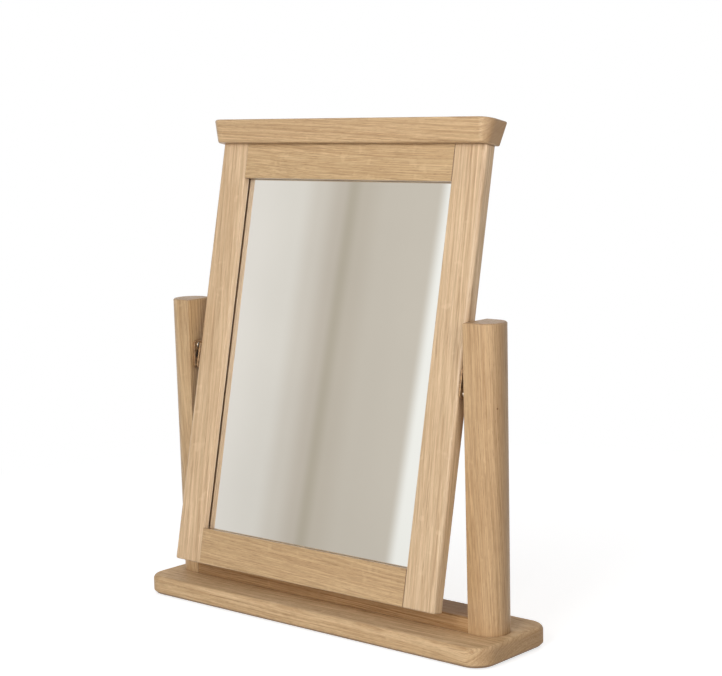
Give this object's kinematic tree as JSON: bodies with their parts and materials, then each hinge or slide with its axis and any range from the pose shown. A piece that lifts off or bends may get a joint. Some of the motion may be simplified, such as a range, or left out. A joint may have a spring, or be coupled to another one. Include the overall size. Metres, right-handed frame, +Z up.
{
  "type": "dressing table swing mirror",
  "caption": "Free-standing oak dressing-table mirror: a framed rectangular glass with a flared cornice, tilting on friction pivots between posts on a rounded base board.",
  "frame": {"origin": "on the table top, in the plane of the pads' undersides, below the middle of the base board", "axes": "+Z up, +X to the sitter's right along the base board, -Y towards the sitter"},
  "size_m": [0.5, 0.1266, 0.5537],
  "materials": {
    "oak_board": "clear satin lacquer",
    "oak_post": "clear satin lacquer",
    "oak_frame": "clear satin lacquer",
    "oak_cornice": "clear satin lacquer",
    "beech_dowel": "plain turned",
    "backing_board": "smooth fibreboard",
    "mirror": "silvered float glass",
    "felt": "felt",
    "plated_steel": "brass-plated, satin",
    "screw_steel": "zinc-plated",
    "pivot_steel": "dark plated",
    "fibre_washer": "matt fibre"
  },
  "bodies": {
    "stand": {"base_board": "oak_board", "stretcher": "oak_board", "left_post": "oak_post", "right_post": "oak_post", "base_pads": "felt", "left_post_plate": "plated_steel", "right_post_plate": "plated_steel", "post_plate_screws": "screw_steel", "post_screws": "screw_steel", "stretcher_screws": "screw_steel"},
    "mirror_frame": {"left_stile": "oak_frame", "right_stile": "oak_frame", "top_rail": "oak_frame", "bottom_rail": "oak_frame", "cornice": "oak_cornice", "cornice_dowels": "beech_dowel", "mirror_glass": "mirror", "back_panel": "backing_board", "back_panel_screws": "screw_steel", "left_frame_plate": "plated_steel", "right_frame_plate": "plated_steel", "frame_plate_screws": "screw_steel", "left_pivot_pin": "pivot_steel", "right_pivot_pin": "pivot_steel", "left_lock_nut": "pivot_steel", "right_lock_nut": "pivot_steel", "left_friction_washer": "fibre_washer", "right_friction_washer": "fibre_washer"}
  },
  "joints": [
    {"name": "mirror_tilt", "type": "hinge", "parent": "stand", "child": "mirror_frame", "pos_m": [0, -0.007, 0.283], "axis": [1, 0, 0], "range_deg": [-77.7, 102.3]}
  ]
}
